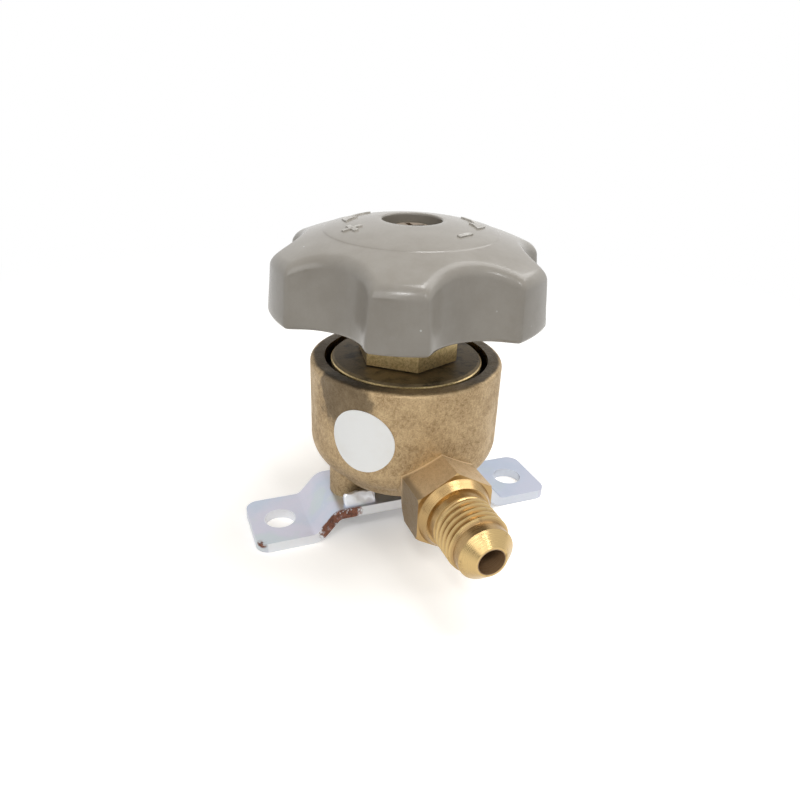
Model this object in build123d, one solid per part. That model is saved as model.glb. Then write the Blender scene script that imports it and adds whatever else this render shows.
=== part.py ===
from build123d import *
from math import cos, radians, sqrt, tan
import os

# Packless diaphragm shut-off valve with two flare ports, a lobed handwheel and a folded foot bracket.
# Millimetres, +Z up. The origin is on the spindle axis at the surface that the bracket stands on.
# The ports run along -Y and +Y, the bracket along X. The valve is drawn shut.

# Foot bracket, a folded strip of plated steel
BRACKET_LENGTH = 63.0
BRACKET_WIDTH = 15.0
SHEET = 2.0
FOOT_HOLE_FROM_END = 5.8
FOOT_HOLE = 6.0
FOOT_CORNER_RADIUS = 2.6
BRIDGE_HEIGHT = 6.55
BRIDGE_LENGTH = 31.6
SLOPE_RUN = 3.9
FOLD_RADIUS = 1.6
LUG_LENGTH = 6.4
LUG_HEIGHT = 2.5
LUG_THICKNESS = 1.4
LUG_SETBACK = 0.8
LUG_OFFSET = 11.0
LUG_LEAN = 20.0
LUG_CORNER_RADIUS = 1.0
LUG_EDGE_RADIUS = 0.5

# Cast brass body
BODY_DIAMETER = 36.6
RIM_HEIGHT = 34.4
RIM_BORE = 31.2
RIM_LIP = 0.9
WALL_FOOT = 18.8
CONE_TOP_DIAMETER = 30.0
UNDERSIDE_DIAMETER = 26.4
CONE_HEIGHT = 2.4
BOSS_DIAMETER = 7.6
BOSS_FROM_BEND = 4.4
BOSS_HEIGHT = 4.25

# Flare ports
PORT_AXIS_HEIGHT = 14.5
PORT_REACH = 38.9
PORT_BORE = 4.7
FLARE_TIP = 5.6
FLARE_BASE = 9.8
NECK_LENGTH = 1.9
THREAD_MAJOR = 11.1
THREAD_LENGTH = 8.2
THREAD_LEAD_IN = 0.5
HEX_FLATS = 14.0
HEX_LENGTH = 7.8
HEX_SHOULDER = 1.6
HEX_SHOULDER_TIP = 12.0
BARREL = 11.4
HEX_CORNER_ANGLE = 30.0
HEX_FACE_INSET = 0.1
HEX_CORNER_BREAK = 0.35
HEX_REAR_ANGLE = 30.0

# Valve chamber and seat
CHAMBER_DIAMETER = 26.0
FLOOR_WALL = 2.25
SEAT_HEIGHT = 1.0
SEAT_OUTER = 8.0
SEAT_BORE = 5.2
OUTLET_DRILL = 4.4
OUTLET_OFFSET = 9.0

# Valve plate with its soft seat disc and lifting spring
SEAT_DISC_DIAMETER = 9.2
SEAT_DISC = 1.4
SEAT_DISC_STANDOUT = 0.6
PLATE_WEB = 1.4
PLATE_SKIRT = 12.4
PLATE_FLANGE = 16.4
PLATE_FLANGE_THICKNESS = 0.8
PLATE_BUTTON = 7.6
PLATE_BUTTON_HEIGHT = 0.3
SPRING_WIRE = 0.7
SPRING_TURNS = 2.5
SPRING_FILM = 0.01

# Diaphragms and what clamps their rim
DIAPHRAGM_CLEARANCE = 0.8
DIAPHRAGM = 0.14
DIAPHRAGM_FILM = 0.01
DIAPHRAGM_NAMES = ("lower_diaphragm", "middle_diaphragm", "upper_diaphragm")
DISH_DEPTH = 1.3
DISH_OUTER = 24.0
GASKET = 0.3
SLIP_RING = 0.5
CLAMP_RING_CLEARANCE = 0.4

# Thrust pad and ball
PAD_FOOT = 7.0
PAD_DIAMETER = 14.4
PAD_EDGE = 1.4
PAD_HEIGHT = 3.1
PAD_RISE = 1.3
BALL_DIAMETER = 4.0
BALL_SINK = 1.0
BALL_PLAY = 0.1
BALL_CONTACT = 0.02

# Spindle
SPINDLE_DIAMETER = 8.0
SPINDLE_SQUARE = 6.2
COLLAR_DIAMETER = 12.0
COLLAR_HEIGHT = 2.6
PAD_GAP = 1.2
THREAD_PITCH = 1.5
TURNS = 1.5
STOP_CLEARANCE = 0.15
RUNNING_CLEARANCE = 0.05

# Bonnet
BONNET_DIAMETER = 28.8
BONNET_PROUD = 0.1
BONNET_EDGE = 0.6
GROOVE_DEPTH = 3.4
BONNET_CAVITY = 15.6
BONNET_HEX_FLATS = 17.0
BONNET_HEX_HEIGHT = 6.5
BONNET_HEX_CORNER_ANGLE = 20.5
HEX_RELIEF = 0.25
THREAD_PLAY = 0.1
SEAL_SECTION = 1.6
SEAL_DEPTH_BELOW_TOP = 0.9
SEAL_GROOVE_PLAY = 0.1

# Handwheel
WHEEL_DIAMETER = 51.4
WHEEL_GAP = 3.55
WHEEL_HEIGHT = 15.7
DOME_RADIUS = 56.4
LOBES = 6
LOBE_ANGLE = 4.3
SCALLOP_RADIUS = 11.2
SCALLOP_DEPTH = 5.0
LOBE_CORNER_RADIUS = 2.6
WHEEL_DRAFT = 3.5
WHEEL_EDGE_RADIUS = 2.1
WHEEL_WALL = 2.4
HUB_DIAMETER = 16.0
RIB = 1.6
RIB_RECESS = 3.0
WELL_DIAMETER = 10.6
WELL_DEPTH = 5.0
CROWN_DISC = 31.6
CROWN_DISC_RISE = 0.12
WELL_EDGE_RADIUS = 0.4
HUB_SHOULDER = 1.0
HUB_CLAMP = 0.5

# Screws and washers
WHEEL_SCREW = 4.0
WHEEL_SCREW_LENGTH = 9.0
WHEEL_SCREW_HEAD = 8.0
WHEEL_SCREW_HEAD_HEIGHT = 2.8
WHEEL_WASHER = 10.0
WHEEL_WASHER_THICKNESS = 0.8
FOOT_SCREW = 3.0
FOOT_SCREW_LENGTH = 8.0
FOOT_SCREW_HEAD = 5.8
FOOT_SCREW_HEAD_HEIGHT = 2.2
LOCK_WASHER = 6.0
LOCK_WASHER_THICKNESS = 0.9
LOCK_WASHER_SLIT = 0.7
LOCK_WASHER_SLIT_LEAN = 25.0
HEAD_CROWN_SHARE = 0.45
DRIVE_SLOT = 0.9
DRIVE_DEPTH = 1.3
DRIVE_SPAN_SHARE = 0.62
SCREW_PLAY = 0.04
HOLE_PLAY = 0.25

# Round paper label on the body wall
LABEL_DIAMETER = 12.1
LABEL = 0.12
LABEL_ANGLE = -135.7
LABEL_HEIGHT = 24.35
LABEL_FILM = 0.01

# Rim of the diaphragms and of what clamps them, set by the bore that they drop into
diaphragm_diameter = RIM_BORE - 2 * DIAPHRAGM_CLEARANCE
clamp_ring_outer = RIM_BORE - 2 * CLAMP_RING_CLEARANCE

# Spacing of the body's two feet and of the screws in them, set by the bridge that they stand on
boss_spacing = BRIDGE_LENGTH - 2 * BOSS_FROM_BEND

# Heights that follow from the sizes above, from the floor up
underside_z = BRIDGE_HEIGHT + BOSS_HEIGHT
floor_z = PORT_AXIS_HEIGHT + PORT_BORE / 2 + FLOOR_WALL
seat_z = floor_z + SEAT_HEIGHT
plate_top_z = seat_z + SEAT_DISC + PLATE_WEB
diaphragm_pitch = DIAPHRAGM + DIAPHRAGM_FILM
rim_clamp_z = plate_top_z + DISH_DEPTH
ledge_z = rim_clamp_z - GASKET
pad_z = plate_top_z + diaphragm_pitch * len(DIAPHRAGM_NAMES)
slip_ring_z = rim_clamp_z + diaphragm_pitch * len(DIAPHRAGM_NAMES)
bonnet_z = slip_ring_z + SLIP_RING
pad_top_z = pad_z + PAD_HEIGHT
ball_z = pad_top_z - BALL_SINK + BALL_DIAMETER / 2
spindle_z = pad_top_z + PAD_GAP
travel = THREAD_PITCH * TURNS
cavity_z = spindle_z + COLLAR_HEIGHT + travel + STOP_CLEARANCE
bonnet_face_z = RIM_HEIGHT + BONNET_PROUD
bonnet_top_z = bonnet_face_z + BONNET_HEX_HEIGHT
wheel_z = bonnet_top_z + WHEEL_GAP
crown_z = wheel_z + WHEEL_HEIGHT
well_z = crown_z - WELL_DEPTH
shoulder_z = wheel_z + HUB_SHOULDER
spindle_top_z = well_z - HUB_CLAMP


def turned(*points):
    """Solid of revolution about Z from (radius, height) points."""
    return revolve(make_face(Plane.XZ * Polyline(*points, close=True)), axis=Axis.Z)


def rod(diameter, low, high):
    """Upright round rod between two heights."""
    return Pos(0, 0, low) * extrude(Circle(diameter / 2), amount=high - low)


def ring(outer, inner, low, high):
    """Upright flat ring between two heights."""
    return Pos(0, 0, low) * extrude(Circle(outer / 2) - Circle(inner / 2), amount=high - low)


def block(length, width, low, high):
    """Plain block on the valve axis between two heights."""
    return Pos(0, 0, low) * extrude(Rectangle(length, width), amount=high - low)


def hexagon(flats, low, high, corner_angle):
    """Upright hexagonal prism with one corner at the given plan angle."""
    corner = flats / 2 / cos(radians(30))
    return Pos(0, 0, low) * extrude(RegularPolygon(corner, 6, rotation=corner_angle), amount=high - low)


def pan_screw(size, length, head, head_height):
    """Pan-head screw standing on its tip side down: the head's bearing face is at height 0."""
    shank = rod(size - 2 * SCREW_PLAY, -length, 0)
    head_solid = rod(head, 0, head_height)
    head_solid = fillet(head_solid.edges().group_by(Axis.Z)[-1], HEAD_CROWN_SHARE * head_height)
    span = DRIVE_SPAN_SHARE * head
    slots = [Rot(0, 0, a) * Box(span, DRIVE_SLOT, 2 * DRIVE_DEPTH) for a in (0, 90)]
    drive = Pos(0, 0, head_height) * (slots[0] + slots[1])
    return shank + head_solid - drive


def port():
    """One flare port along +Z from the valve axis: barrel, hexagon, shoulder, thread and flare cone.

    The hexagon's upper half runs on into the bowl, and its lower half is bevelled off behind.
    """
    flare_length = (FLARE_BASE - FLARE_TIP) / 2
    thread_end = PORT_REACH - flare_length - NECK_LENGTH
    shoulder_tip = thread_end - THREAD_LENGTH
    hex_front = shoulder_tip - HEX_SHOULDER
    hex_rear = hex_front - HEX_LENGTH
    face_radius = HEX_FLATS / 2 - HEX_FACE_INSET
    corner_radius = HEX_FLATS / 2 / cos(radians(30))
    rear_slope = (corner_radius - face_radius) / tan(radians(HEX_REAR_ANGLE))
    front_bevel = turned(
        (0, 0),
        (corner_radius, 0),
        (corner_radius, hex_front - HEX_CORNER_BREAK),
        (corner_radius - HEX_CORNER_BREAK, hex_front),
        (0, hex_front),
    )
    rear_bevel = turned(
        (0, hex_rear),
        (face_radius, hex_rear),
        (corner_radius, hex_rear + rear_slope),
        (corner_radius, hex_front),
        (0, hex_front),
    )
    nut_start = CHAMBER_DIAMETER / 2
    span = 2 * corner_radius
    upper = Pos(0, corner_radius) * block(span, span, nut_start, hex_front)
    nut = hexagon(HEX_FLATS, nut_start, hex_front, HEX_CORNER_ANGLE) & front_bevel & (upper + rear_bevel)
    barrel = rod(BARREL, 0, hex_rear)
    spigot = turned(
        (0, hex_front),
        (face_radius, hex_front),
        (HEX_SHOULDER_TIP / 2, shoulder_tip),
        (THREAD_MAJOR / 2, shoulder_tip),
        (THREAD_MAJOR / 2, thread_end - THREAD_LEAD_IN),
        (FLARE_BASE / 2, thread_end),
        (FLARE_BASE / 2, PORT_REACH - flare_length),
        (FLARE_TIP / 2, PORT_REACH),
        (0, PORT_REACH),
    )
    return barrel + nut + spigot


def lay_along_port(shape, turn):
    """Lays a shape drawn along +Z on the port axis, towards -Y, turned about the valve axis."""
    return Rot(0, 0, turn) * Pos(0, 0, PORT_AXIS_HEIGHT) * Rot(90, 0, 0) * shape


def valve_body():
    """Cast body with both ports: round bowl, seat, chamber, drillings and two feet for the bracket."""
    wall = BODY_DIAMETER / 2
    cone_top = CONE_TOP_DIAMETER / 2
    cone_z = underside_z + CONE_HEIGHT
    drop = WALL_FOOT - cone_z
    shoulder = ((wall - cone_top) ** 2 + drop**2) / (2 * (wall - cone_top))
    centre = (wall - shoulder, WALL_FOOT)
    to_cone = (cone_top - centre[0], -drop)
    to_wall = (shoulder, 0)
    middle = (to_cone[0] + to_wall[0], to_cone[1] + to_wall[1])
    reach = shoulder / sqrt(middle[0] ** 2 + middle[1] ** 2)
    halfway = (centre[0] + middle[0] * reach, centre[1] + middle[1] * reach)
    lip = RIM_LIP * (1 - cos(radians(45)))
    outline = [
        Polyline((0, underside_z), (UNDERSIDE_DIAMETER / 2, underside_z), (cone_top, cone_z)),
        ThreePointArc((cone_top, cone_z), halfway, (wall, WALL_FOOT)),
        Line((wall, WALL_FOOT), (wall, RIM_HEIGHT - RIM_LIP)),
        ThreePointArc(
            (wall, RIM_HEIGHT - RIM_LIP), (wall - lip, RIM_HEIGHT - lip), (wall - RIM_LIP, RIM_HEIGHT)
        ),
        Polyline(
            (wall - RIM_LIP, RIM_HEIGHT),
            (RIM_BORE / 2, RIM_HEIGHT),
            (RIM_BORE / 2, ledge_z),
            (CHAMBER_DIAMETER / 2, ledge_z),
            (CHAMBER_DIAMETER / 2, floor_z),
            (SEAT_OUTER / 2, floor_z),
            (SEAT_OUTER / 2, seat_z),
            (0, seat_z),
            (0, underside_z),
        ),
    ]
    bowl = revolve(make_face(Plane.XZ * (Curve() + outline)), axis=Axis.Z)
    chamber = rod(CHAMBER_DIAMETER, floor_z, RIM_HEIGHT)
    body = bowl
    for side in (-1, 1):
        foot = Pos(side * boss_spacing / 2, 0) * rod(BOSS_DIAMETER, BRIDGE_HEIGHT, floor_z - FLOOR_WALL)
        body += foot
    for turn in (0, 180):
        body += lay_along_port(port(), turn) - chamber
    inlet = rod(PORT_BORE, 0, PORT_REACH)
    outlet = rod(PORT_BORE, OUTLET_OFFSET, PORT_REACH)
    body -= lay_along_port(inlet, 0)
    body -= lay_along_port(outlet, 180)
    body -= rod(SEAT_BORE, PORT_AXIS_HEIGHT, seat_z)
    body -= Pos(0, OUTLET_OFFSET) * rod(OUTLET_DRILL, PORT_AXIS_HEIGHT, floor_z)
    for side in (-1, 1):
        thread_top = BRIDGE_HEIGHT - SHEET - LOCK_WASHER_THICKNESS + FOOT_SCREW_LENGTH + HOLE_PLAY
        body -= Pos(side * boss_spacing / 2, 0) * rod(FOOT_SCREW, BRIDGE_HEIGHT, thread_top)
    return body


def valve_plate():
    """Valve plate: a cup for the seat disc, a flange for the spring and a button under the diaphragms."""
    cup = SEAT_DISC_DIAMETER / 2 + RUNNING_CLEARANCE
    flange_top = plate_top_z - PLATE_BUTTON_HEIGHT
    return turned(
        (0, seat_z + SEAT_DISC),
        (cup, seat_z + SEAT_DISC),
        (cup, seat_z + SEAT_DISC_STANDOUT),
        (PLATE_SKIRT / 2, seat_z + SEAT_DISC_STANDOUT),
        (PLATE_SKIRT / 2, flange_top - PLATE_FLANGE_THICKNESS),
        (PLATE_FLANGE / 2, flange_top - PLATE_FLANGE_THICKNESS),
        (PLATE_FLANGE / 2, flange_top),
        (PLATE_BUTTON / 2, flange_top),
        (PLATE_BUTTON / 2, plate_top_z),
        (0, plate_top_z),
    )


def plate_spring():
    """Lifting spring between the chamber floor and the plate's flange, pressed short."""
    clear = SPRING_WIRE / 2 + SPRING_FILM
    low = floor_z + clear
    high = plate_top_z - PLATE_BUTTON_HEIGHT - PLATE_FLANGE_THICKNESS - clear
    radius = (PLATE_SKIRT + PLATE_FLANGE) / 4
    coil = Helix((high - low) / SPRING_TURNS, high - low, radius)
    section = Plane(coil @ 0, z_dir=coil % 0) * Circle(SPRING_WIRE / 2)
    return Pos(0, 0, low) * sweep(section, path=coil, is_frenet=True)


def diaphragm(lift):
    """One thin dished disc, clamped flat round its rim."""
    inner = PLATE_BUTTON / 2
    low = plate_top_z + lift
    high = rim_clamp_z + lift
    return turned(
        (0, low),
        (inner, low),
        (DISH_OUTER / 2, high),
        (diaphragm_diameter / 2, high),
        (diaphragm_diameter / 2, high + DIAPHRAGM),
        (DISH_OUTER / 2, high + DIAPHRAGM),
        (inner, low + DIAPHRAGM),
        (0, low + DIAPHRAGM),
    )


def thrust_pad():
    """Pad that bears on the diaphragms, with a socket for the ball."""
    pad = turned(
        (0, pad_z),
        (PAD_FOOT / 2, pad_z),
        (PAD_DIAMETER / 2, pad_z + PAD_RISE),
        (PAD_DIAMETER / 2, pad_z + PAD_RISE + PAD_EDGE),
        (PAD_FOOT / 2, pad_top_z),
        (0, pad_top_z),
    )
    return pad - Pos(0, 0, ball_z) * Sphere(BALL_DIAMETER / 2 + RUNNING_CLEARANCE / 2)


def spindle():
    """Spindle: collar with the ball's pocket below, round stem, squared end tapped for the wheel screw."""
    stem = rod(COLLAR_DIAMETER, spindle_z, spindle_z + COLLAR_HEIGHT)
    stem += rod(SPINDLE_DIAMETER, spindle_z, shoulder_z)
    square = extrude(Rectangle(SPINDLE_SQUARE, SPINDLE_SQUARE), amount=spindle_top_z - shoulder_z)
    stem += Pos(0, 0, shoulder_z) * square & rod(SPINDLE_DIAMETER, shoulder_z, spindle_top_z)
    pocket_top = ball_z + BALL_DIAMETER / 2 + BALL_CONTACT
    stem -= rod(BALL_DIAMETER + 2 * BALL_PLAY, spindle_z, pocket_top)
    tapped_z = well_z + WHEEL_WASHER_THICKNESS - WHEEL_SCREW_LENGTH - HOLE_PLAY
    return stem - rod(WHEEL_SCREW, tapped_z, spindle_top_z)


def bonnet():
    """Bonnet: screwed flange, flush disc with a groove round it, hexagon and spindle bore."""
    flange = (RIM_BORE - THREAD_PLAY) / 2
    face = BONNET_DIAMETER / 2
    bore = SPINDLE_DIAMETER / 2 + RUNNING_CLEARANCE
    relief = BONNET_HEX_FLATS / 2 - HEX_RELIEF
    cap = turned(
        (BONNET_CAVITY / 2, bonnet_z),
        (flange, bonnet_z),
        (flange, RIM_HEIGHT - GROOVE_DEPTH),
        (face, RIM_HEIGHT - GROOVE_DEPTH),
        (face, bonnet_face_z - BONNET_EDGE),
        (face - BONNET_EDGE, bonnet_face_z),
        (relief, bonnet_face_z),
        (relief, bonnet_face_z + HEX_RELIEF),
        (bore, bonnet_face_z + HEX_RELIEF),
        (bore, cavity_z),
        (BONNET_CAVITY / 2, cavity_z),
    )
    corner = BONNET_HEX_FLATS / 2 / cos(radians(30))
    flat = BONNET_HEX_FLATS / 2
    hex_low = bonnet_face_z + HEX_RELIEF
    bevels = turned(
        (0, hex_low),
        (corner, hex_low),
        (corner, bonnet_top_z - (corner - flat)),
        (flat, bonnet_top_z),
        (0, bonnet_top_z),
    )
    nut = hexagon(BONNET_HEX_FLATS, hex_low, bonnet_top_z, BONNET_HEX_CORNER_ANGLE) & bevels
    seal_top = bonnet_top_z - SEAL_DEPTH_BELOW_TOP
    seal_low = seal_top - SEAL_SECTION - 2 * SEAL_GROOVE_PLAY
    groove = 2 * (SPINDLE_DIAMETER / 2 + RUNNING_CLEARANCE + SEAL_SECTION + SEAL_GROOVE_PLAY)
    return cap + nut - rod(2 * bore, cavity_z, bonnet_top_z) - rod(groove, seal_low, seal_top)


def stem_seal():
    """Rubber ring in the bonnet's groove round the spindle."""
    middle = SPINDLE_DIAMETER / 2 + RUNNING_CLEARANCE + SEAL_SECTION / 2
    height = bonnet_top_z - SEAL_DEPTH_BELOW_TOP - SEAL_GROOVE_PLAY - SEAL_SECTION / 2
    return Pos(0, 0, height) * Torus(middle, SEAL_SECTION / 2)


def lobed(inset):
    """Flat lobed outline of the handwheel, drawn in by the given amount, with sharp corners."""
    outline = Circle(WHEEL_DIAMETER / 2 - inset)
    valley = WHEEL_DIAMETER / 2 - SCALLOP_DEPTH
    for k in range(LOBES):
        spot = Rot(0, 0, LOBE_ANGLE + (k + 0.5) * 360 / LOBES) * Pos(valley + SCALLOP_RADIUS, 0)
        outline -= spot * Circle(SCALLOP_RADIUS + inset)
    return outline


def handwheel():
    """Moulded lobed wheel: drafted skirt under a shallow dome, hollow below with a hub and ribs."""
    foot = fillet(lobed(0).vertices(), LOBE_CORNER_RADIUS)
    head = offset(foot, amount=-WHEEL_HEIGHT * tan(radians(WHEEL_DRAFT)))
    dome_z = crown_z - DOME_RADIUS
    skirt = loft([Pos(0, 0, wheel_z) * foot, Pos(0, 0, crown_z) * head], ruled=True)
    shell = skirt & Pos(0, 0, dome_z) * Sphere(DOME_RADIUS)
    top_face = shell.faces().sort_by(Axis.Z)[-1]
    shell = fillet(top_face.edges(), WHEEL_EDGE_RADIUS)
    hollow = Pos(0, 0, wheel_z) * extrude(lobed(WHEEL_WALL), amount=WHEEL_HEIGHT)
    hollow &= Pos(0, 0, dome_z) * Sphere(DOME_RADIUS - WHEEL_WALL)
    core = rod(HUB_DIAMETER, wheel_z, well_z)
    for k in range(LOBES):
        length = WHEEL_DIAMETER / 2 - WHEEL_WALL / 2
        web = Pos(length / 2, 0, wheel_z + RIB_RECESS) * Box(
            length, RIB, WHEEL_HEIGHT, align=(Align.CENTER, Align.CENTER, Align.MIN)
        )
        core += Rot(0, 0, LOBE_ANGLE + k * 360 / LOBES) * web
    wheel = shell - (hollow - core)
    raised = rod(CROWN_DISC, well_z, crown_z + CROWN_DISC_RISE)
    wheel += raised & Pos(0, 0, dome_z) * Sphere(DOME_RADIUS + CROWN_DISC_RISE)
    wheel -= rod(WELL_DIAMETER, well_z, crown_z + CROWN_DISC_RISE)
    well_edge = wheel.edges().filter_by(GeomType.CIRCLE).group_by(Axis.Z)[-1]
    wheel = fillet(well_edge, WELL_EDGE_RADIUS)
    square = SPINDLE_SQUARE + 2 * RUNNING_CLEARANCE
    socket = extrude(Rectangle(square, square), amount=well_z - shoulder_z)
    wheel -= Pos(0, 0, shoulder_z) * socket & rod(
        SPINDLE_DIAMETER + 2 * RUNNING_CLEARANCE, shoulder_z, well_z
    )
    wheel -= rod(SPINDLE_DIAMETER + 2 * RUNNING_CLEARANCE, wheel_z, shoulder_z)
    return wheel


def mounting_bracket():
    """Folded strip: two flat feet with holes, two slopes and a raised bridge with two bent lugs."""
    middle = SHEET / 2
    half = BRACKET_LENGTH / 2
    knee = BRIDGE_LENGTH / 2
    toe = knee + SLOPE_RUN
    path = Plane.XZ * FilletPolyline(
        (-half, middle),
        (-toe, middle),
        (-knee, BRIDGE_HEIGHT - middle),
        (knee, BRIDGE_HEIGHT - middle),
        (toe, middle),
        (half, middle),
        radius=FOLD_RADIUS + middle,
    )
    start = Plane((-half, 0, middle), x_dir=(0, 1, 0), z_dir=(1, 0, 0))
    strip = sweep(start * Rectangle(BRACKET_WIDTH, SHEET), path=path)
    ends = [e for e in strip.edges().filter_by(Axis.Z) if abs(e.center().X) > toe]
    strip = fillet(ends, FOOT_CORNER_RADIUS)
    for side in (-1, 1):
        strip -= Pos(side * (half - FOOT_HOLE_FROM_END), 0) * rod(FOOT_HOLE, 0, SHEET)
        strip -= Pos(side * boss_spacing / 2, 0) * rod(
            FOOT_SCREW + 2 * HOLE_PLAY, BRIDGE_HEIGHT - SHEET, BRIDGE_HEIGHT
        )
    lug = Box(LUG_LENGTH, LUG_THICKNESS, 2 * LUG_HEIGHT)
    lug = fillet(lug.edges().filter_by(Axis.Y).group_by(Axis.Z)[-1], LUG_CORNER_RADIUS)
    lug = fillet(lug.edges().filter_by(Axis.X).group_by(Axis.Z)[-1], LUG_EDGE_RADIUS)
    inset = BRACKET_WIDTH / 2 - LUG_SETBACK - LUG_THICKNESS / 2
    sheet_middle = BRIDGE_HEIGHT - middle
    above = block(BRACKET_LENGTH, BRACKET_WIDTH, sheet_middle, BRIDGE_HEIGHT + 2 * LUG_HEIGHT)
    for turn in (0, 180):
        bent = Pos(-LUG_OFFSET, -inset, BRIDGE_HEIGHT) * Rot(-LUG_LEAN, 0, 0) * lug
        strip += Rot(0, 0, turn) * (bent & above)
    return strip


def bracket_screws():
    """Two pan-head screws up through the bridge into the body's feet."""
    bearing = BRIDGE_HEIGHT - SHEET - LOCK_WASHER_THICKNESS
    screw = pan_screw(FOOT_SCREW, FOOT_SCREW_LENGTH, FOOT_SCREW_HEAD, FOOT_SCREW_HEAD_HEIGHT)
    return [Pos(s * boss_spacing / 2, 0, bearing) * Rot(180, 0, 0) * screw for s in (-1, 1)]


def bracket_lock_washers():
    """Split spring washers under the two screw heads."""
    top = BRIDGE_HEIGHT - SHEET
    washer = ring(LOCK_WASHER, FOOT_SCREW + HOLE_PLAY, top - LOCK_WASHER_THICKNESS, top)
    slit = Box(LOCK_WASHER, LOCK_WASHER_SLIT, 4 * LOCK_WASHER_THICKNESS)
    slit = Pos(LOCK_WASHER / 2, 0, top) * Rot(LOCK_WASHER_SLIT_LEAN, 0, 0) * slit
    return [Pos(s * boss_spacing / 2, 0) * (washer - slit) for s in (-1, 1)]


def label():
    """Round paper label that follows the body's wall."""
    wall = BODY_DIAMETER / 2 + LABEL_FILM
    low = LABEL_HEIGHT - LABEL_DIAMETER
    high = LABEL_HEIGHT + LABEL_DIAMETER
    sleeve = ring(2 * (wall + LABEL), 2 * wall, low, high)
    disc = Plane.YZ * Circle(LABEL_DIAMETER / 2)
    plug = Pos(0, 0, LABEL_HEIGHT) * extrude(disc, amount=BODY_DIAMETER)
    return Rot(0, 0, LABEL_ANGLE) * (sleeve & plug)


wheel_screw = pan_screw(WHEEL_SCREW, WHEEL_SCREW_LENGTH, WHEEL_SCREW_HEAD, WHEEL_SCREW_HEAD_HEIGHT)
washer_top = well_z + WHEEL_WASHER_THICKNESS
pieces = {
    "valve_body": valve_body(),
    "valve_plate": valve_plate(),
    "seat_disc": rod(SEAT_DISC_DIAMETER, seat_z, seat_z + SEAT_DISC),
    "plate_spring": plate_spring(),
    "diaphragm_gasket": ring(clamp_ring_outer, CHAMBER_DIAMETER, ledge_z, rim_clamp_z),
    "slip_ring": ring(clamp_ring_outer, CHAMBER_DIAMETER, slip_ring_z, bonnet_z),
    "thrust_pad": thrust_pad(),
    "thrust_ball": Pos(0, 0, ball_z) * Sphere(BALL_DIAMETER / 2),
    "bonnet": bonnet(),
    "stem_seal": stem_seal(),
    "spindle": spindle(),
    "handwheel": handwheel(),
    "handwheel_washer": ring(WHEEL_WASHER, WHEEL_SCREW + HOLE_PLAY, well_z, washer_top),
    "handwheel_screw": Pos(0, 0, washer_top) * wheel_screw,
    "mounting_bracket": mounting_bracket(),
    "bracket_screws": Compound(bracket_screws()),
    "bracket_lock_washers": Compound(bracket_lock_washers()),
    "label": label(),
}
for level, name in enumerate(DIAPHRAGM_NAMES):
    pieces[name] = diaphragm(level * diaphragm_pitch)

os.makedirs("parts", exist_ok=True)
for name, shape in pieces.items():
    export_step(shape, f"parts/{name}.step")
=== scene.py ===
import bpy
from math import atan2, cos, hypot, pi, radians, sin, sqrt
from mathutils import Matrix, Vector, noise
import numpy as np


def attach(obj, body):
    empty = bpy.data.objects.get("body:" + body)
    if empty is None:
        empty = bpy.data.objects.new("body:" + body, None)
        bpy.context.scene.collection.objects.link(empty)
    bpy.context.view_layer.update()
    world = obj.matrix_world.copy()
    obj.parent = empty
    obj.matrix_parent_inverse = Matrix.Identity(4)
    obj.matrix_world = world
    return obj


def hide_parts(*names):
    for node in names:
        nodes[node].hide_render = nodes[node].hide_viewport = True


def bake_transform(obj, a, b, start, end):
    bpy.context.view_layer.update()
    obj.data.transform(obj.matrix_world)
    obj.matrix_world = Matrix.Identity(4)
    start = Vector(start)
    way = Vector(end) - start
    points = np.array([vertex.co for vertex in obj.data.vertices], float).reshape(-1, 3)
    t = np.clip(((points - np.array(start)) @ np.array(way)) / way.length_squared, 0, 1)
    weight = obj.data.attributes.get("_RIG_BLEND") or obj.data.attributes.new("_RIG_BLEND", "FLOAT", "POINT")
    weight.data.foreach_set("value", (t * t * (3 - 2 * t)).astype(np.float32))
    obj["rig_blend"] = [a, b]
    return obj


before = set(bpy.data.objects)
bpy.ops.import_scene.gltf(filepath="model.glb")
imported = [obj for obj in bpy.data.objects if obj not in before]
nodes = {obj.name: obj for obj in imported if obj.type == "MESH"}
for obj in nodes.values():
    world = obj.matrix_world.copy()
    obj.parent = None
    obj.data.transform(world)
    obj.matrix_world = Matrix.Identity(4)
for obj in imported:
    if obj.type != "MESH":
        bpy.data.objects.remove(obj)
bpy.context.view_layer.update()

# Packless diaphragm shut-off valve, standing on its foot bracket on a pale table.
# The camera looks down on the near flare port from its left, a hand's breadth away.
bpy.ops.object.select_all(action="DESELECT")
bpy.ops.object.camera_add(
    location=(-0.046641, -0.112713, 0.084224),
    rotation=(radians(63.9421), radians(-2.0925), radians(-21.0578)),
)
camera = bpy.context.object
camera.name = "camera"
camera.data.sensor_width = 36.0
camera.data.lens = 30.864
camera.data.clip_start = 0.002
bpy.context.scene.camera = camera
bpy.context.scene.view_settings.view_transform = "Standard"

# Table: a matt white sheet that runs out of sight. It keeps the valve's warm shadow, and it is
# lifted to white where it is looked at, all the more so away from the valve. The lift's warm tint is
# painted light thrown back from the brass, and the weaker lift under the valve paints a deeper shadow there.
TABLE_WIDTH = 12.0
TABLE_DROP = 0.00004
TABLE_WHITE = (0.86, 0.85, 0.83, 1)
LIFT_WHITE = (1.0, 0.96, 0.90, 1)
UNDER_VALVE = 0.010
BESIDE_VALVE = 0.024
LIFT_UNDER_VALVE = 0.20
LIFT_BESIDE_VALVE = 0.41
FADE_START = 0.06
FADE_END = 0.24


def add(tree, kind, inputs=None, **settings):
    """Adds a shader node. An input given as a socket is linked, any other is set on its own socket."""
    node = tree.nodes.new("ShaderNode" + kind)
    for key, value in settings.items():
        setattr(node, key, value)
    for key, value in (inputs or {}).items():
        if isinstance(value, bpy.types.NodeSocket):
            tree.links.new(value, node.inputs[key])
        else:
            node.inputs[key].default_value = value
    return node


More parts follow.
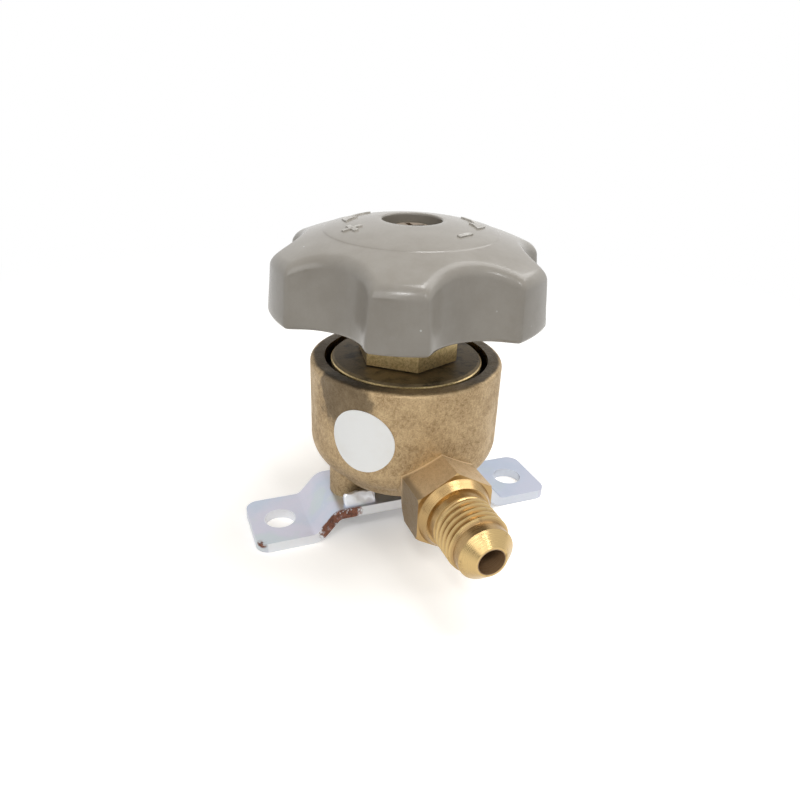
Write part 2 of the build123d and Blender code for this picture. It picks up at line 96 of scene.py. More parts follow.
def between(tree, value, low, high, first=0.0, second=1.0):
    """Maps a value smoothly from low..high to first..second."""
    inputs = {0: value, 1: low, 2: high, 3: first, 4: second}
    return add(tree, "MapRange", inputs, interpolation_type="SMOOTHSTEP").outputs[0]


def times(tree, a, b):
    """Product of two masks."""
    return add(tree, "Math", {0: a, 1: b}, operation="MULTIPLY").outputs[0]


def seen_directly(tree):
    """One for rays that come from the camera or from a mirror-like or clear surface, else nothing."""
    path = add(tree, "LightPath").outputs
    seen = add(tree, "Math", {0: path["Is Camera Ray"], 1: path["Is Glossy Ray"]}).outputs[0]
    return add(tree, "Math", {0: seen, 1: path["Is Transmission Ray"]}, use_clamp=True).outputs[0]


bpy.ops.mesh.primitive_plane_add(size=TABLE_WIDTH, location=(0, 0, -TABLE_DROP))
table = bpy.context.object
table.name = "table"
paper = bpy.data.materials.new("table_white")
paper.use_nodes = True
tree = paper.node_tree
tree.nodes.clear()
matt = add(tree, "BsdfDiffuse", {"Color": TABLE_WHITE})
place = add(tree, "TexCoord").outputs["Object"]
reach = add(tree, "VectorMath", {0: place}, operation="LENGTH").outputs["Value"]
# Painted shadow: less lift under the valve darkens the table there.
lift = between(tree, reach, UNDER_VALVE, BESIDE_VALVE, LIFT_UNDER_VALVE, LIFT_BESIDE_VALVE)
glow = add(tree, "Emission", {"Color": LIFT_WHITE, "Strength": times(tree, seen_directly(tree), lift)})
near = add(tree, "AddShader", {0: matt.outputs[0], 1: glow.outputs[0]})
far = add(tree, "Emission", {"Color": (1, 1, 1, 1), "Strength": seen_directly(tree)})
fade = between(tree, reach, FADE_START, FADE_END)
both = add(tree, "MixShader", {0: fade, 1: near.outputs[0], 2: far.outputs[0]})
add(tree, "OutputMaterial", {"Surface": both.outputs[0]})
table.data.materials.append(paper)

# Studio light: an even white surround, a soft box high on the right, one overhead, a wide weak one in
# front to the left, two small ones in front for glints, and a dark card that bright metal mirrors.
SURROUND_WHITE = (0.96, 0.98, 1.0, 1)
SURROUND_STRENGTH = 0.32
FELT_BLACK = (0.02, 0.02, 0.02, 1)


def new_material(name, metal, rough):
    """A material whose shader has its even values set on its own sockets."""
    made = bpy.data.materials.new(name)
    made.use_nodes = True
    shader = made.node_tree.nodes["Principled BSDF"]
    shader.inputs["Metallic"].default_value = metal
    shader.inputs["Roughness"].default_value = rough
    return made, made.node_tree, shader


world = bpy.data.worlds.new("surround")
bpy.context.scene.world = world
world.use_nodes = True
tree = world.node_tree
tree.nodes.clear()
even = add(tree, "Background", {"Color": SURROUND_WHITE, "Strength": SURROUND_STRENGTH})
white = add(tree, "Background", {"Color": (1, 1, 1, 1), "Strength": 1.0})
choice = add(tree, "MixShader", {0: seen_directly(tree), 1: even.outputs[0], 2: white.outputs[0]})
add(tree, "OutputWorld", {"Surface": choice.outputs[0]})
for name, place, turn, size, power in (
    ("soft_box_right", (0.34, 0.06, 0.40), (radians(-8), radians(43), 0), 0.32, 0.9),
    ("soft_box_top", (0.10, -0.01, 0.50), (radians(1), radians(12), 0), 0.16, 0.75),
    ("soft_box_front", (-0.44, -0.38, 0.36), (radians(58), 0, radians(-49)), 0.45, 1.15),
    ("small_box_over", (-0.16, -0.30, 0.40), (radians(42.6), 0, radians(-28)), 0.07, 0.42),
    ("small_box_beside", (0.066, -0.334, 0.349), (radians(46.8), 0, radians(11.2)), 0.06, 0.17),
):
    bpy.ops.object.light_add(type="AREA", location=place, rotation=turn)
    lamp = bpy.context.object
    lamp.name = name
    lamp.data.size = size
    lamp.data.energy = power
bpy.ops.mesh.primitive_plane_add(
    size=0.075, location=(-0.157, -0.185, 0.064), rotation=(radians(82), 0, radians(-46))
)
card = bpy.context.object
card.name = "dark_card"
card.visible_camera = False
felt, tree, shader = new_material("dark_felt", 0.0, 0.9)
shader.inputs["Base Color"].default_value = FELT_BLACK
card.data.materials.append(felt)

# Body: a sand-cast brass bowl with two opposed flare ports. The spigots, cones and hexagon bevels are
# turned bright, and the port threads are cut with a die that runs out before the hexagon.
PORT_HEIGHT = 0.0145
HEX_FACE = 0.0267
THREAD_CREST = 0.00555
THREAD_PITCH = 0.00127
THREAD_DEPTH = 0.00060
THREAD_START = 0.0362
THREAD_TURNS = 7
STEPS_PER_TURN = 72
GROOVE_FLOOR = 0.00016
GROOVE_MOUTH = 0.00060
OVERCUT = 0.00012
RUN_OUT_FROM = 0.0026
RUN_OUT_LENGTH = 0.0016
RUN_OUT_RISE = THREAD_DEPTH * 1.3
SAME_CORNER = 2e-6
BODY_SMOOTH = 32


def pick(piece):
    """Leaves only this piece selected and active."""
    bpy.ops.object.select_all(action="DESELECT")
    piece.select_set(True)
    bpy.context.view_layer.objects.active = piece


def merged_copy(node, name, body, smooth=30):
    """A copy of a solid's mesh with its seams joined and its round faces shaded smooth."""
    piece = bpy.data.objects.new(name, nodes[node].data.copy())
    bpy.context.scene.collection.objects.link(piece)
    pick(piece)
    bpy.ops.object.mode_set(mode="EDIT")
    bpy.ops.mesh.select_all(action="SELECT")
    bpy.ops.mesh.remove_doubles(threshold=SAME_CORNER)
    bpy.ops.mesh.customdata_custom_splitnormals_clear()
    bpy.ops.object.mode_set(mode="OBJECT")
    bpy.ops.object.shade_smooth_by_angle(angle=radians(smooth))
    piece.data.materials.clear()
    if body:
        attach(piece, body)
    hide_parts(node)
    return piece


def trim(piece, tool, how):
    """Cuts a tool's shape out of a piece, or keeps only what lies inside it."""
    pick(piece)
    step = piece.modifiers.new("trim", "BOOLEAN")
    step.operation = how
    step.solver = "EXACT"
    step.object = tool
    bpy.ops.object.modifier_apply(modifier="trim")


body = merged_copy("valve_body", "body_casting", "body")
bpy.ops.mesh.primitive_plane_add(size=1.0, location=(0, 0, PORT_HEIGHT))
cutter = bpy.context.object
cutter.name = "thread_die"
profile = (
    (-GROOVE_FLOOR, THREAD_CREST - THREAD_DEPTH),
    (GROOVE_FLOOR, THREAD_CREST - THREAD_DEPTH),
    (-GROOVE_MOUTH, THREAD_CREST + OVERCUT),
    (GROOVE_MOUTH, THREAD_CREST + OVERCUT),
)
for corner, (along, out) in zip(cutter.data.vertices, profile):
    corner.co = (0, along - THREAD_START, out)
screw = cutter.modifiers.new("turns", "SCREW")
screw.axis = "Y"
screw.angle = 2 * pi
screw.screw_offset = THREAD_PITCH
screw.iterations = THREAD_TURNS
screw.steps = STEPS_PER_TURN
screw.render_steps = STEPS_PER_TURN
pick(cutter)
bpy.ops.object.modifier_apply(modifier="turns")
for corner in cutter.data.vertices:
    from_face = -corner.co.y - HEX_FACE
    if from_face < RUN_OUT_FROM:
        out = hypot(corner.co.x, corner.co.z)
        rise = RUN_OUT_RISE * min(1.0, (RUN_OUT_FROM - from_face) / RUN_OUT_LENGTH)
        corner.co.x *= (out + rise) / out
        corner.co.z *= (out + rise) / out
bpy.ops.object.mode_set(mode="EDIT")
bpy.ops.mesh.select_all(action="SELECT")
bpy.ops.mesh.remove_doubles(threshold=1e-7)
bpy.ops.mesh.fill_holes(sides=4)
bpy.ops.mesh.select_all(action="SELECT")
bpy.ops.mesh.normals_make_consistent(inside=False)
bpy.ops.object.mode_set(mode="OBJECT")
for turn in (0, pi):
    cutter.rotation_euler = (0, 0, turn)
    bpy.context.view_layer.update()
    trim(body, cutter, "DIFFERENCE")
bpy.data.objects.remove(cutter)
bpy.ops.object.shade_smooth_by_angle(angle=radians(BODY_SMOOTH))


def new_group(name, inputs, outputs):
    """An empty shader group with plain number sockets, and its input and output nodes."""
    tree = bpy.data.node_groups.new(name, "ShaderNodeTree")
    for label, value in inputs.items():
        socket = tree.interface.new_socket(label, in_out="INPUT", socket_type="NodeSocketFloat")
        socket.default_value = value
    for label in outputs:
        tree.interface.new_socket(label, in_out="OUTPUT", socket_type="NodeSocketFloat")
    return tree, tree.nodes.new("NodeGroupInput"), tree.nodes.new("NodeGroupOutput")


def use_group(tree, group, **values):
    """Places a shader group in a material with its own values, and gives its outputs."""
    node = tree.nodes.new("ShaderNodeGroup")
    node.node_tree = group
    for key, value in values.items():
        node.inputs[key].default_value = value
    return node.outputs


def place_on(tree):
    """Place of a point on its own piece."""
    return add(tree, "TexCoord").outputs["Object"]


def away_from(tree, place, point):
    """Distance of a place from a fixed point."""
    return add(tree, "VectorMath", {0: place, 1: point}, operation="DISTANCE").outputs["Value"]


def speckle(tree, scale, detail=2.0, rough=0.5):
    """A cloudy pattern that stays on the piece, finer for a larger scale."""
    inputs = {"Vector": place_on(tree), "Scale": scale, "Detail": detail, "Roughness": rough}
    return add(tree, "TexNoise", inputs).outputs[0]


def strayed(tree, value, pattern, width):
    """A measure shifted by a pattern of some width, so that an edge drawn from it is ragged."""
    return add(tree, "Math", {0: pattern, 1: width, 2: value}, operation="MULTIPLY_ADD").outputs[0]


def band(tree, value, low, full_from, full_to, high):
    """One from full_from to full_to, falling smoothly to nothing at low and at high."""
    return times(tree, between(tree, value, low, full_from), between(tree, value, high, full_to))


def tint(tree, mask, first, second):
    """A colour that goes from the first to the second as the mask goes from nothing to one."""
    mix = add(tree, "MixRGB", {"Fac": mask})
    for key, value in (("Color1", first), ("Color2", second)):
        if isinstance(value, bpy.types.NodeSocket):
            tree.links.new(value, mix.inputs[key])
        else:
            mix.inputs[key].default_value = (*value, 1)
    return mix.outputs["Color"]


def feed(tree, shader, inputs):
    """Links values to the shader's sockets."""
    for key, value in inputs.items():
        tree.links.new(value, shader.inputs[key])


def relief(tree, shader, height, strength, distance):
    """Gives the shader a small relief from a height."""
    bump = add(tree, "Bump", {"Height": height, "Strength": strength, "Distance": distance})
    feed(tree, shader, {"Normal": bump.outputs[0]})


# Skin of a sand casting: broad mottling, and fine grains from the mould.
cast_skin, given, put = new_group("cast_skin", {"Grain Scale": 1500.0}, ("Mottle", "Grain", "Height"))
broad = speckle(cast_skin, 190.0, 6.0, 0.62)
fine = speckle(cast_skin, given.outputs["Grain Scale"], 4.0, 0.7)
cast_skin.links.new(between(cast_skin, broad, 0.34, 0.66), put.inputs["Mottle"])
cast_skin.links.new(between(cast_skin, fine, 0.36, 0.62), put.inputs["Grain"])
cast_skin.links.new(fine, put.inputs["Height"])

# Dirt that has settled on metal: soft patches with ragged edges, more of them for a larger amount.
PATCH_SOFTNESS = 0.22
grime, given, put = new_group("grime", {"Scale": 160.0, "Amount": 0.5}, ("Mask",))
patch = speckle(grime, given.outputs["Scale"], 8.0, 0.68)
edge = add(grime, "Math", {0: 1.0, 1: given.outputs["Amount"]}, operation="SUBTRACT").outputs[0]
full = add(grime, "Math", {0: edge, 1: PATCH_SOFTNESS}).outputs[0]
grime.links.new(between(grime, patch, edge, full), put.inputs["Mask"])

# Where a point lies: its distance from the spindle axis and from the port axis, its three places,
# and how far out it lies along the bracket and along the ports, on either side.
whereabouts, _, put = new_group(
    "whereabouts", {}, ("Spindle Radius", "Port Radius", "X", "Y", "Z", "Aside", "Along")
)
place = place_on(whereabouts)
level = add(whereabouts, "VectorMath", {0: place, 1: (1, 1, 0)}, operation="MULTIPLY").outputs[0]
upright = add(whereabouts, "VectorMath", {0: place, 1: (1, 0, 1)}, operation="MULTIPLY").outputs[0]
whereabouts.links.new(away_from(whereabouts, level, (0, 0, 0)), put.inputs["Spindle Radius"])
whereabouts.links.new(away_from(whereabouts, upright, (0, 0, PORT_HEIGHT)), put.inputs["Port Radius"])
split = add(whereabouts, "SeparateXYZ", {0: place})
for axis in "XYZ":
    whereabouts.links.new(split.outputs[axis], put.inputs[axis])
for axis, label in (("X", "Aside"), ("Y", "Along")):
    unsigned = add(whereabouts, "Math", {0: split.outputs[axis]}, operation="ABSOLUTE")
    whereabouts.links.new(unsigned.outputs[0], put.inputs[label])

# The casting has a mottled brown skin with pits and grit from the sand.
BROWN_CASTING = (0.315, 0.216, 0.110)
TAN_CASTING = (0.455, 0.330, 0.182)
PALE_GRAIN = (0.58, 0.43, 0.25)
DARK_PIT = (0.17, 0.105, 0.05)
GOLD_GRIT = (0.70, 0.53, 0.31)
cast_brass, tree, shader = new_material("cast_brass", 0.72, 0.55)
skin = use_group(tree, cast_skin)
spot = use_group(tree, whereabouts)
dirt = use_group(tree, grime, Scale=210.0, Amount=0.42)["Mask"]
colour = tint(tree, skin["Mottle"], BROWN_CASTING, TAN_CASTING)
colour = tint(tree, between(tree, skin["Grain"], 0.0, 1.0, 0.0, 0.5), colour, PALE_GRAIN)
sand = speckle(tree, 3800.0, 3.0)
colour = tint(tree, between(tree, sand, 0.34, 0.46, 0.35, 0.0), colour, DARK_PIT)
colour = tint(tree, between(tree, sand, 0.56, 0.66, 0.0, 0.35), colour, GOLD_GRIT)

# A painted highlight on the ridge where a hexagon leaves the bowl, paler hexagons, and painted shade on the
# near one's left flank.
RIDGE_HIGHLIGHT = (0.92, 0.74, 0.48)
PALE_HEXAGON = (0.62, 0.44, 0.25)
FLANK_SHADE = (0.20, 0.145, 0.085)
RIDGE_BAND = (0.01832, 0.01836, 0.01860, 0.01905)
RIDGE_REACH = (0.0084, 0.0082)
RIDGE_HEIGHT = (0.0150, 0.0180)
HEXAGON_START = (0.0184, 0.0188)
FLANK_ASIDE = (-0.0057, -0.0066)
FLANK_START = (-0.0172, -0.0186)
# Painted highlight along the ridge where a hexagon meets the bowl.
ridge_highlight = band(tree, spot["Spindle Radius"], *RIDGE_BAND)
ridge_highlight = times(tree, ridge_highlight, between(tree, spot["Port Radius"], *RIDGE_REACH))
ridge_highlight = times(tree, ridge_highlight, between(tree, spot["Z"], *RIDGE_HEIGHT))
colour = tint(tree, times(tree, ridge_highlight, 0.7), colour, RIDGE_HIGHLIGHT)
colour = tint(tree, between(tree, spot["Along"], *HEXAGON_START, 0.0, 0.35), colour, PALE_HEXAGON)
# Painted shade on the left flank of the near hexagon.
flank_shade = between(tree, spot["X"], *FLANK_ASIDE)
flank_shade = times(tree, flank_shade, between(tree, spot["Y"], *FLANK_START))
colour = tint(tree, times(tree, flank_shade, 0.8), colour, FLANK_SHADE)

# A dark stain high on the wall's left, soot and painted shade on the rim that leave its front lighter, and
# the wall darker in patches low down.
STAIN_PLACE = (-0.0158, -0.0093, 0.0312)
RIM_FRONT_PLACE = (-0.002, -0.0178, 0.0344)
BROWN_STAIN = (0.085, 0.062, 0.038)
RIM_SOOT_AND_SHADE = (0.05, 0.040, 0.025)
LOW_DARKENING = (0.16, 0.115, 0.06)
STAIN_FRINGE = 0.0090
STAIN_EDGE = (0.0092, 0.0116)
SOOT_AND_SHADE_FRINGE = 0.0016
RIM_EDGE = (0.0188, 0.0181)
RIM_HEIGHT = (0.0330, 0.0340)
RIM_FRONT_EDGE = (0.0040, 0.0110)
LOW_HEIGHT = (0.0125, 0.0085)
fringe = speckle(tree, 260.0, 6.0, 0.65)
stain = strayed(tree, away_from(tree, place_on(tree), STAIN_PLACE), fringe, STAIN_FRINGE)
stain = between(tree, stain, *STAIN_EDGE, 1.0, 0.0)
stain = times(tree, stain, between(tree, dirt, 0.0, 0.5, 0.7, 1.0))
colour = tint(tree, stain, colour, BROWN_STAIN)
# Soot and painted shade on the rim top, lighter at the front where light reaches it.
soot_and_shade = between(tree, strayed(tree, spot["Spindle Radius"], fringe, SOOT_AND_SHADE_FRINGE), *RIM_EDGE)
soot_and_shade = times(tree, soot_and_shade, between(tree, spot["Z"], *RIM_HEIGHT))
from_rim_front = away_from(tree, place_on(tree), RIM_FRONT_PLACE)
soot_and_shade = times(tree, soot_and_shade, between(tree, from_rim_front, *RIM_FRONT_EDGE, 0.45, 1.0))
soot_and_shade = times(tree, soot_and_shade, between(tree, dirt, 0.0, 0.5, 0.8, 1.0))
colour = tint(tree, soot_and_shade, colour, RIM_SOOT_AND_SHADE)
# Darker in patches low on the wall.
low = between(tree, spot["Z"], *LOW_HEIGHT)
low = times(tree, low, between(tree, dirt, 0.0, 1.0, 0.1, 0.7))
colour = tint(tree, low, colour, LOW_DARKENING)
rough = between(tree, skin["Mottle"], 0.0, 1.0, 0.60, 0.46)
feed(tree, shader, {"Base Color": colour, "Roughness": rough})
relief(tree, shader, skin["Height"], 0.40, 0.0004)

# The turned faces have fine rings. Shade is painted towards the hexagon, dirt and painted shade darken the
# thread groove, and the bore is duller.
BRIGHT_BRASS = (0.54, 0.385, 0.175)
DIRTY_BRASS = (0.22, 0.140, 0.062)
SHOULDER_SHADE = (0.33, 0.205, 0.090)
THREAD_DIRT_AND_SHADE = (0.33, 0.205, 0.095)
DULL_BORE = (0.27, 0.165, 0.085)
SHOULDER_END = (0.0292, 0.0280)
GROOVE_BAND = (0.00480, 0.00492, 0.00505, 0.00545)
BORE_EDGE = (0.00240, 0.00255)
turned_brass, tree, shader = new_material("turned_brass", 1.0, 0.22)
spot = use_group(tree, whereabouts)
dirt = use_group(tree, grime, Scale=420.0, Amount=0.46)["Mask"]
colour = tint(tree, dirt, BRIGHT_BRASS, DIRTY_BRASS)
# Painted shade on the shoulder next to the hexagon.
colour = tint(tree, between(tree, spot["Along"], *SHOULDER_END, 0.0, 0.6), colour, SHOULDER_SHADE)
# Dirt and painted shade in the thread groove.
groove = band(tree, spot["Port Radius"], *GROOVE_BAND)
colour = tint(tree, times(tree, groove, 0.7), colour, THREAD_DIRT_AND_SHADE)
inside = between(tree, spot["Port Radius"], *BORE_EDGE, 1.0, 0.0)
colour = tint(tree, inside, colour, DULL_BORE)
rings = add(tree, "TexNoise", {"Vector": spot["Y"], "Scale": 9000.0, "Detail": 2.0}).outputs[0]
rough = between(tree, rings, 0.3, 0.7, 0.24, 0.36)
metal = between(tree, inside, 0.0, 1.0, 1.0, 0.1)
feed(tree, shader, {"Base Color": colour, "Metallic": metal, "Roughness": rough})
relief(tree, shader, rings, 0.10, 0.0002)

FACE_SLACK = 0.00005
BEVEL_FROM = 0.0235
BEVEL_SLANT = 0.25
BORE_RADIUS = 0.0024
BORE_FROM = 0.004
CHAMBER_RADIUS = 0.01565
CHAMBER_FLOOR = 0.0188
body.data.materials.append(cast_brass)
body.data.materials.append(turned_brass)
for face in body.data.polygons:
    x, y, z = face.center
    along = abs(y)
    spigot = along > HEX_FACE - FACE_SLACK
    bevel = along > BEVEL_FROM and abs(face.normal.y) > BEVEL_SLANT
    bore = hypot(x, z - PORT_HEIGHT) < BORE_RADIUS and along > BORE_FROM
    chamber = hypot(x, y) < CHAMBER_RADIUS and z > CHAMBER_FLOOR
    face.material_index = 1 if spigot or bevel or bore or chamber else 0

# Foot bracket: a strip of zinc-plated steel, folded in a press. The plating has a lilac cast, the lugs
# were battered as they were bent up, and rust has started at a bend's sheared edge and a foot's corner.
# The two screws that hold it to the body, and their lock washers, are plated alike.
BLUE_ZINC = (0.535, 0.585, 0.675)
LILAC_ZINC = (0.625, 0.610, 0.690)
GREEN_ZINC = (0.565, 0.625, 0.630)
PALE_FLECK = (0.70, 0.71, 0.74)
BARE_EDGE = (0.78, 0.80, 0.83)
RIGHT_SHADE_ZINC = (0.37, 0.42, 0.52)
BATTERED_LUG = (0.82, 0.83, 0.85)
HOLE_PLACE = (0.0257, 0, 0)
HOLE_EDGE = (0.00320, 0.00305)
STRIP_EDGE = (0.00735, 0.00745)
RIGHT_SHADE_ASIDE = (0.010, 0.022)
LUG_HEIGHT = (0.0066, 0.0072)


def larger(tree, a, b):
    """The larger of two masks."""
    return add(tree, "Math", {0: a, 1: b}, operation="MAXIMUM").outputs[0]


zinc, tree, shader = new_material("zinc_plate", 0.80, 0.36)
spot = use_group(tree, whereabouts)
cloud = speckle(tree, 95.0, 4.0)
drift = speckle(tree, 150.0)
fleck = speckle(tree, 1300.0, 4.0, 0.7)
colour = tint(tree, between(tree, cloud, 0.38, 0.62), BLUE_ZINC, LILAC_ZINC)
colour = tint(tree, between(tree, drift, 0.52, 0.66, 0.0, 0.7), colour, GREEN_ZINC)
colour = tint(tree, between(tree, fleck, 0.55, 0.70, 0.0, 0.35), colour, PALE_FLECK)
seen_flat = add(tree, "CombineXYZ", {0: spot["Aside"], 1: spot["Along"]}).outputs[0]
bare_hole = between(tree, away_from(tree, seen_flat, HOLE_PLACE), *HOLE_EDGE)
bare_strip = between(tree, spot["Along"], *STRIP_EDGE)
colour = tint(tree, times(tree, larger(tree, bare_strip, bare_hole), 0.8), colour, BARE_EDGE)
# Painted shade: the strip is darker towards its right foot.
colour = tint(tree, between(tree, spot["X"], *RIGHT_SHADE_ASIDE, 0.0, 0.5), colour, RIGHT_SHADE_ZINC)
colour = tint(tree, times(tree, between(tree, spot["Z"], *LUG_HEIGHT), 0.7), colour, BATTERED_LUG)

# Rust creeps along the sheared edge at the left bend and sits on the left foot's near corner.
DARK_RUST = (0.115, 0.043, 0.026)
RED_RUST = (0.27, 0.110, 0.068)
RUSTY_CORNER = (-0.0309, -0.0068, 0.0026)
CORNER_STRETCH = (1, 1, 1.6)
CORNER_EDGE = (0.0007, 0.0015)
EDGE_FRINGE = 0.0016
EDGE_START = (-0.0062, -0.0066)
BEND_FRINGE = 0.0060
BEND_BAND = (-0.0166, -0.0158, -0.0090, -0.0080)
creep = speckle(tree, 520.0, 5.0, 0.7)
sheared = between(tree, strayed(tree, spot["Y"], creep, EDGE_FRINGE), *EDGE_START)
bend = band(tree, strayed(tree, spot["X"], creep, BEND_FRINGE), *BEND_BAND)
stretched = add(tree, "VectorMath", {0: place_on(tree), 1: CORNER_STRETCH}, operation="MULTIPLY")
corner = away_from(tree, stretched.outputs[0], RUSTY_CORNER)
corner = between(tree, corner, *CORNER_EDGE, 1.0, 0.0)
corner = times(tree, corner, between(tree, creep, 0.40, 0.52))
rust = larger(tree, times(tree, sheared, bend), corner)
ragged = times(tree, between(tree, fleck, 0.27, 0.32), between(tree, creep, 0.37, 0.43))
rust = times(tree, rust, ragged)
rusty = tint(tree, between(tree, fleck, 0.35, 0.65), DARK_RUST, RED_RUST)
colour = tint(tree, rust, colour, rusty)
metal = between(tree, rust, 0.0, 1.0, 0.80, 0.0)
plated = between(tree, fleck, 0.3, 0.7, 0.30, 0.42)
rough = add(tree, "Math", {0: plated, 1: times(tree, rust, 0.45)}).outputs[0]
feed(tree, shader, {"Base Color": colour, "Metallic": metal, "Roughness": rough})
relief(tree, shader, fleck, 0.12, 0.0002)

BRACKET_SMOOTH = 24
BRIDGE_TOP = 0.00655
LUGS_ABOVE = BRIDGE_TOP + 0.0002
DENT_FADE = 0.0010
DENTS = ((520, 0.00042), (1400, 0.00016))
DENT_ACROSS = 0.8
LUG_SINK = 0.00012
bracket = merged_copy("mounting_bracket", "foot_bracket", "body", smooth=BRACKET_SMOOTH)
bracket.data.materials.append(zinc)
bpy.ops.object.mode_set(mode="EDIT")
bpy.ops.mesh.select_mode(type="FACE")
bpy.ops.mesh.select_all(action="DESELECT")
bpy.ops.object.mode_set(mode="OBJECT")
for face in bracket.data.polygons:
    face.select = face.center.z > LUGS_ABOVE
bpy.ops.object.mode_set(mode="EDIT")
bpy.ops.mesh.quads_convert_to_tris()
bpy.ops.mesh.subdivide(number_cuts=2)
bpy.ops.mesh.subdivide(number_cuts=1)
bpy.ops.object.mode_set(mode="OBJECT")
for corner in bracket.data.vertices:
    above = min(max((corner.co.z - BRIDGE_TOP) / DENT_FADE, 0), 1)
    dent = sum(noise.noise(corner.co * scale) * depth for scale, depth in DENTS)
    corner.co.z += above * (dent - LUG_SINK)
    corner.co.y += above * dent * DENT_ACROSS


def coat(names, finish):
    """Gives a finish to solids that are shown as they are."""
    for node in names:
        nodes[node].data.materials.clear()
        nodes[node].data.materials.append(finish)


coat(("bracket_screws", "bracket_lock_washers"), zinc)

# Label: a round of white paper with a soft, faintly stained face.
# It is stuck on the wall of the bowl and follows its curve.
LABEL_WHITE = (0.97, 0.97, 0.95)
LABEL_STAIN = (0.93, 0.92, 0.885)
paper_white, tree, shader = new_material("label_paper", 0.0, 0.55)
fibre = speckle(tree, 2600.0, 3.0)
stain = speckle(tree, 240.0, 5.0)
colour = tint(tree, between(tree, stain, 0.45, 0.75), LABEL_WHITE, LABEL_STAIN)
feed(tree, shader, {"Base Color": colour})
relief(tree, shader, fibre, 0.05, 0.0001)
label = merged_copy("label", "round_label", "body")
label.data.materials.append(paper_white)

# Bonnet: turned brass, screwed into the bowl. Its disc is dull, dirty and painted darker as shade under the
# wheel, dirt fills the groove round it, the bevelled edge is worn bright, and the hexagon has the rough
# grain of its bar.
BAR_BRASS = (0.46, 0.340, 0.160)
BAR_GRAIN = (0.70, 0.540, 0.270)
SHADED_DISC = (0.155, 0.115, 0.062)
DIRTY_SHADED_DISC = (0.045, 0.034, 0.018)
GROOVE_DIRT = (0.018, 0.014, 0.010)
WORN_ROUGHNESS = (0.30, 0.30, 0.30)
DULL_ROUGHNESS = (0.52, 0.52, 0.52)
DIRT_ROUGHNESS = (0.9, 0.9, 0.9)
DISC_HEIGHT = (0.03475, 0.03460)
DISC_EDGE = (0.01425, 0.01415)
GROOVE_HEIGHT = (0.0336, 0.0331)
bonnet_brass, tree, shader = new_material("bonnet_brass", 0.8, 0.45)
skin = use_group(tree, cast_skin, **{"Grain Scale": 2200.0})
spot = use_group(tree, whereabouts)
dirt = use_group(tree, grime, Scale=260.0, Amount=0.55)["Mask"]
disc = between(tree, spot["Z"], *DISC_HEIGHT)
disc = times(tree, disc, between(tree, spot["Spindle Radius"], *DISC_EDGE))
groove = between(tree, spot["Z"], *GROOVE_HEIGHT)
colour = tint(tree, skin["Grain"], BAR_BRASS, BAR_GRAIN)
# Dirt and painted shade from the wheel darken the disc.
colour = tint(tree, disc, colour, tint(tree, dirt, SHADED_DISC, DIRTY_SHADED_DISC))
colour = tint(tree, groove, colour, GROOVE_DIRT)
metal = between(tree, groove, 0.0, 1.0, 0.85, 0.1)
rough = tint(tree, groove, tint(tree, disc, WORN_ROUGHNESS, DULL_ROUGHNESS), DIRT_ROUGHNESS)
feed(tree, shader, {"Base Color": colour, "Metallic": metal, "Roughness": rough})
relief(tree, shader, skin["Height"], 0.22, 0.0003)
bonnet = merged_copy("bonnet", "bonnet_cap", "body")
bonnet.data.materials.append(bonnet_brass)

# Spindle, ball and washer: turned steel. The ball sits under the spindle, the washer lies under the
# wheel's screw, and the spindle's neck shows between the bonnet and the wheel.
GREY_STEEL = (0.50, 0.49, 0.47)
PALE_STEEL = (0.66, 0.65, 0.63)
steel, tree, shader = new_material("turned_steel", 1.0, 0.3)
marks = speckle(tree, 1800.0, 3.0)
colour = tint(tree, marks, GREY_STEEL, PALE_STEEL)
feed(tree, shader, {"Base Color": colour, "Roughness": between(tree, marks, 0.3, 0.7, 0.24, 0.38)})
coat(("spindle", "thrust_ball", "handwheel_washer"), steel)

# Diaphragms and spring: thin rolled steel that gives way. The diaphragms are clamped at their rims and
# their middles follow the thrust pad. The spring stands on the bowl's floor and its top follows the plate.
DARK_SPRING = (0.42, 0.42, 0.43)
PALE_SPRING = (0.58, 0.58, 0.59)
CLAMPED_FROM = 0.0129
LIFTED_WITHIN = 0.0087
NEARLY_LEVEL = 0.05
NEARLY_UPRIGHT = 0.9
spring_steel, tree, shader = new_material("spring_steel", 1.0, 0.35)
feed(tree, shader, {"Base Color": tint(tree, speckle(tree, 900.0, 3.0), DARK_SPRING, PALE_SPRING)})
for level in ("lower", "middle", "upper"):
    sheet = merged_copy(level + "_diaphragm", level + "_steel_sheet", None)
    sheet.data.materials.append(spring_steel)
    bpy.ops.object.mode_set(mode="EDIT")
    bpy.ops.mesh.select_mode(type="FACE")
    bpy.ops.mesh.select_all(action="DESELECT")
    bpy.ops.object.mode_set(mode="OBJECT")
    for face in sheet.data.polygons:
        face.select = NEARLY_LEVEL < hypot(face.normal.x, face.normal.y) < NEARLY_UPRIGHT
    bpy.ops.object.mode_set(mode="EDIT")
    bpy.ops.mesh.subdivide(number_cuts=4)
    bpy.ops.object.mode_set(mode="OBJECT")
    heights = [corner.co.z for corner in sheet.data.vertices]
    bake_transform(sheet, "body", "thrust", (0, 0, max(heights)), (0, 0, min(heights)))
    follow = sheet.data.attributes["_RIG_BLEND"].data
    for corner, share in zip(sheet.data.vertices, follow):
        out = hypot(corner.co.x, corner.co.y)
        share.value = min(max((CLAMPED_FROM - out) / (CLAMPED_FROM - LIFTED_WITHIN), 0), 1)
coil = merged_copy("plate_spring", "lifting_coil", None)
coil.data.materials.append(spring_steel)
heights = [corner.co.z for corner in coil.data.vertices]
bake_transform(coil, "body", "plate", (0, 0, min(heights)), (0, 0, max(heights)))

